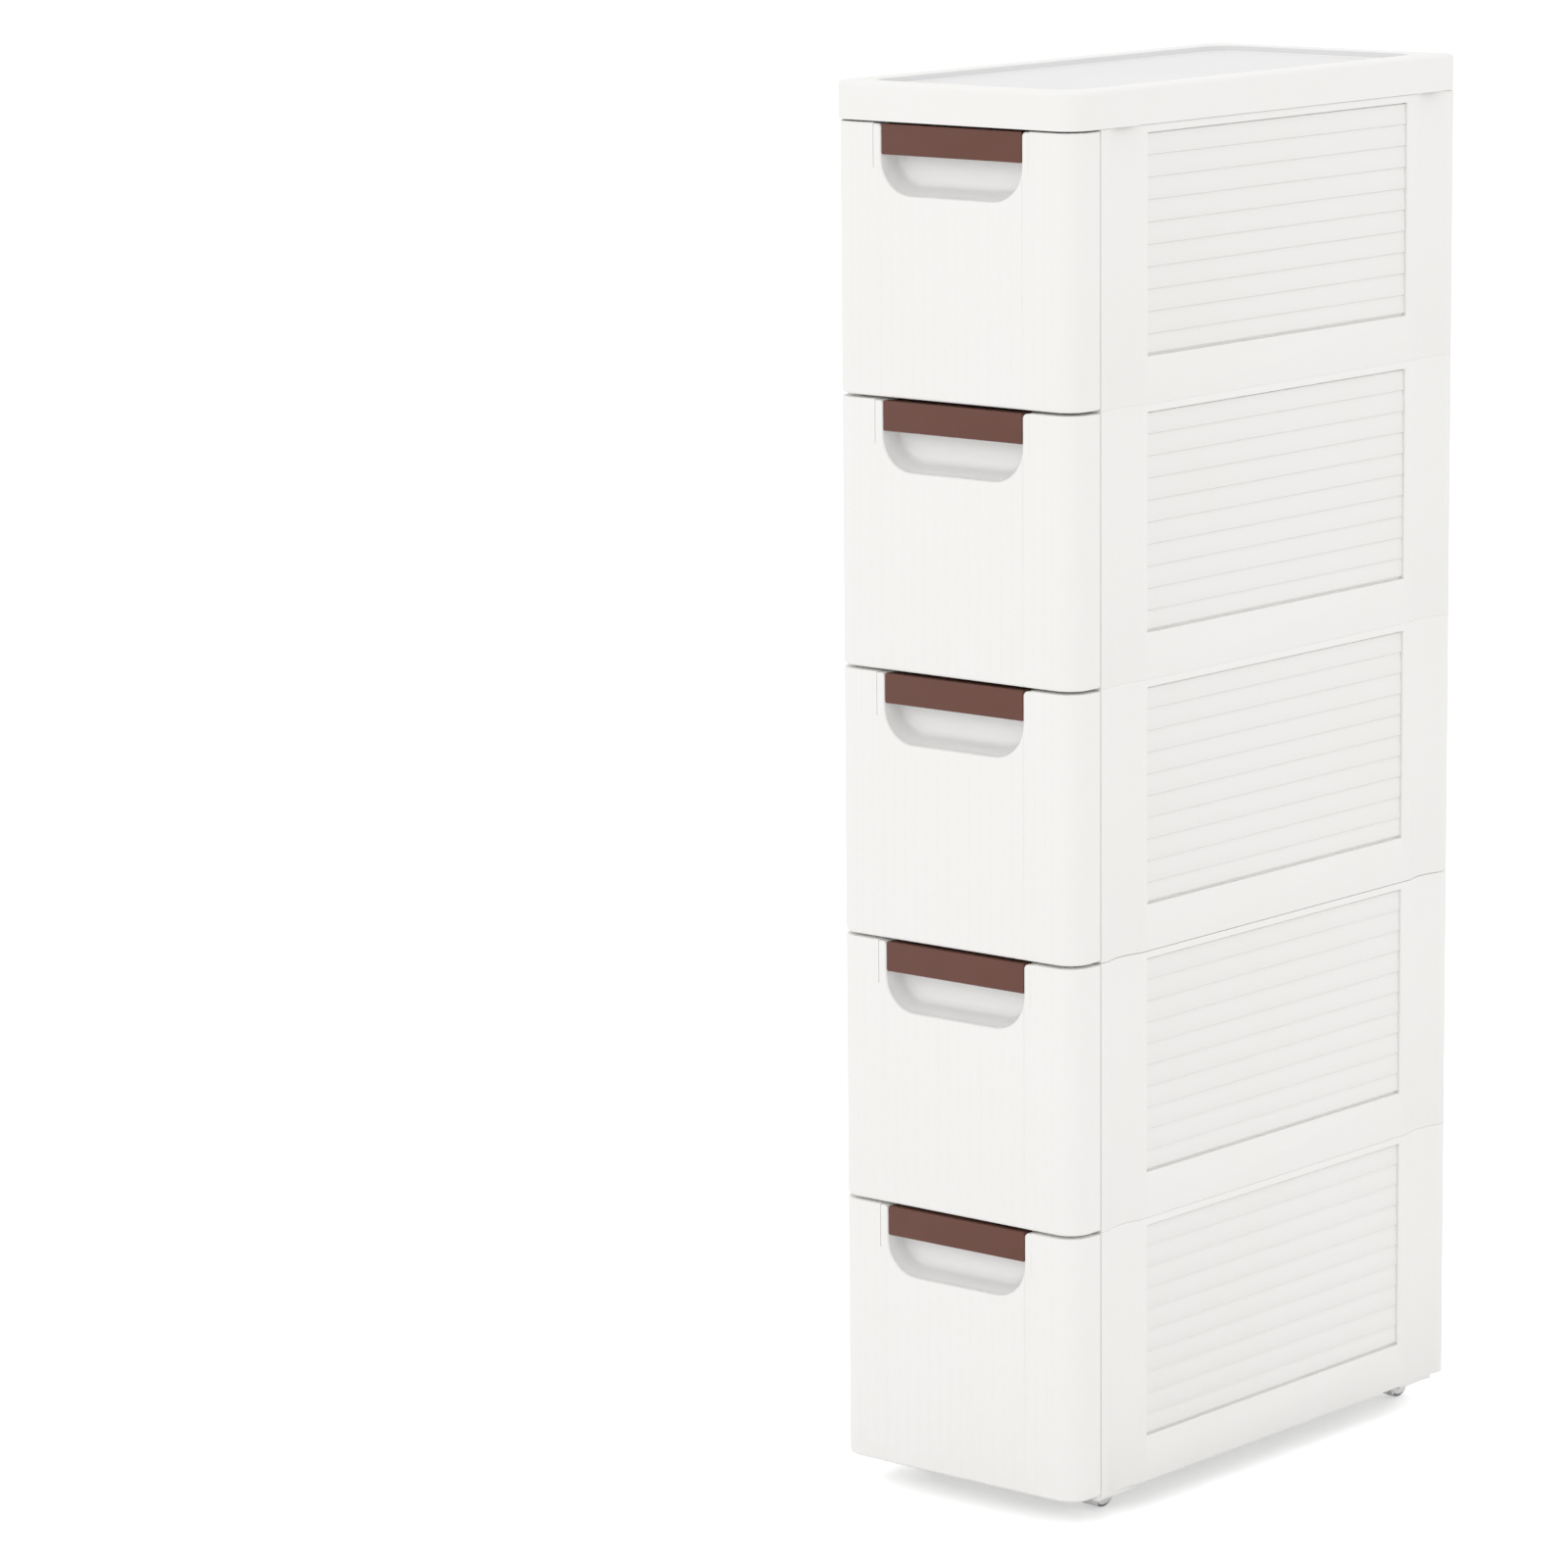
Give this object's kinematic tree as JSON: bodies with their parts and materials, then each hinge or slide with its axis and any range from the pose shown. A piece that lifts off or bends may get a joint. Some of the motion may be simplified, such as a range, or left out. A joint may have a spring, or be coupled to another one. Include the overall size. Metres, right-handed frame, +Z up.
{
  "type": "drawer tower",
  "caption": "Slim white plastic drawer tower with louvred side walls, reeded drawer fronts, brown scoop handles, a tray top and small swivel casters",
  "frame": {"origin": "on the floor, under the middle of the tower's bounding box", "axes": "X across the tower, Y from the drawer fronts (facing -Y) to the back, Z up"},
  "size_m": [0.203, 0.421, 0.944],
  "materials": {
    "white_plastic": "satin moulded",
    "cup_plastic": "satin moulded",
    "brown_plastic": "satin moulded",
    "caster_plastic": "satin moulded",
    "wheel_plastic": "satin moulded",
    "bright_steel": "zinc plated"
  },
  "bodies": {
    "housing": {"top_cover": "white_plastic", "base_frame": "white_plastic", "tier_1_left_wall": "white_plastic", "tier_1_right_wall": "white_plastic", "tier_1_back_panel": "white_plastic", "tier_2_left_wall": "white_plastic", "tier_2_right_wall": "white_plastic", "tier_2_back_panel": "white_plastic", "tier_3_left_wall": "white_plastic", "tier_3_right_wall": "white_plastic", "tier_3_back_panel": "white_plastic", "tier_4_left_wall": "white_plastic", "tier_4_right_wall": "white_plastic", "tier_4_back_panel": "white_plastic", "tier_5_left_wall": "white_plastic", "tier_5_right_wall": "white_plastic", "tier_5_back_panel": "white_plastic", "tier_1_shelf": "white_plastic", "tier_2_shelf": "white_plastic", "tier_3_shelf": "white_plastic", "tier_4_shelf": "white_plastic", "front_left_caster_stem": "bright_steel", "front_right_caster_stem": "bright_steel", "rear_left_caster_stem": "bright_steel", "rear_right_caster_stem": "bright_steel"},
    "drawer_1": {"drawer_1_front": "white_plastic", "drawer_1_tub": "white_plastic", "drawer_1_finger_cup": "cup_plastic", "drawer_1_handle": "brown_plastic"},
    "drawer_2": {"drawer_2_front": "white_plastic", "drawer_2_tub": "white_plastic", "drawer_2_finger_cup": "cup_plastic", "drawer_2_handle": "brown_plastic"},
    "drawer_3": {"drawer_3_front": "white_plastic", "drawer_3_tub": "white_plastic", "drawer_3_finger_cup": "cup_plastic", "drawer_3_handle": "brown_plastic"},
    "drawer_4": {"drawer_4_front": "white_plastic", "drawer_4_tub": "white_plastic", "drawer_4_finger_cup": "cup_plastic", "drawer_4_handle": "brown_plastic"},
    "drawer_5": {"drawer_5_front": "white_plastic", "drawer_5_tub": "white_plastic", "drawer_5_finger_cup": "cup_plastic", "drawer_5_handle": "brown_plastic"},
    "front_left_swivel": {"front_left_caster_fork": "caster_plastic", "front_left_caster_axle": "bright_steel"},
    "front_left_roller": {"front_left_caster_wheel": "wheel_plastic"},
    "front_right_swivel": {"front_right_caster_fork": "caster_plastic", "front_right_caster_axle": "bright_steel"},
    "front_right_roller": {"front_right_caster_wheel": "wheel_plastic"},
    "rear_left_swivel": {"rear_left_caster_fork": "caster_plastic", "rear_left_caster_axle": "bright_steel"},
    "rear_left_roller": {"rear_left_caster_wheel": "wheel_plastic"},
    "rear_right_swivel": {"rear_right_caster_fork": "caster_plastic", "rear_right_caster_axle": "bright_steel"},
    "rear_right_roller": {"rear_right_caster_wheel": "wheel_plastic"}
  },
  "joints": [
    {"name": "drawer_1_slide", "type": "slide", "parent": "housing", "child": "drawer_1", "axis": [0, -1, 0], "range_m": [0, 0.32]},
    {"name": "drawer_2_slide", "type": "slide", "parent": "housing", "child": "drawer_2", "axis": [0, -1, 0], "range_m": [0, 0.32]},
    {"name": "drawer_3_slide", "type": "slide", "parent": "housing", "child": "drawer_3", "axis": [0, -1, 0], "range_m": [0, 0.32]},
    {"name": "drawer_4_slide", "type": "slide", "parent": "housing", "child": "drawer_4", "axis": [0, -1, 0], "range_m": [0, 0.32]},
    {"name": "drawer_5_slide", "type": "slide", "parent": "housing", "child": "drawer_5", "axis": [0, -1, 0], "range_m": [0, 0.32]},
    {"name": "front_left_swivel", "type": "hinge", "parent": "housing", "child": "front_left_swivel", "pos_m": [-0.072, -0.1515, 0.0275], "axis": [0, 0, 1], "continuous": true},
    {"name": "front_left_roll", "type": "hinge", "parent": "front_left_swivel", "child": "front_left_roller", "pos_m": [-0.072, -0.1465, 0.0115], "axis": [1, 0, 0], "continuous": true},
    {"name": "front_right_swivel", "type": "hinge", "parent": "housing", "child": "front_right_swivel", "pos_m": [0.072, -0.1515, 0.0275], "axis": [0, 0, 1], "continuous": true},
    {"name": "front_right_roll", "type": "hinge", "parent": "front_right_swivel", "child": "front_right_roller", "pos_m": [0.072, -0.1465, 0.0115], "axis": [1, 0, 0], "continuous": true},
    {"name": "rear_left_swivel", "type": "hinge", "parent": "housing", "child": "rear_left_swivel", "pos_m": [-0.072, 0.1885, 0.0275], "axis": [0, 0, 1], "continuous": true},
    {"name": "rear_left_roll", "type": "hinge", "parent": "rear_left_swivel", "child": "rear_left_roller", "pos_m": [-0.072, 0.1935, 0.0115], "axis": [1, 0, 0], "continuous": true},
    {"name": "rear_right_swivel", "type": "hinge", "parent": "housing", "child": "rear_right_swivel", "pos_m": [0.072, 0.1885, 0.0275], "axis": [0, 0, 1], "continuous": true},
    {"name": "rear_right_roll", "type": "hinge", "parent": "rear_right_swivel", "child": "rear_right_roller", "pos_m": [0.072, 0.1935, 0.0115], "axis": [1, 0, 0], "continuous": true}
  ]
}
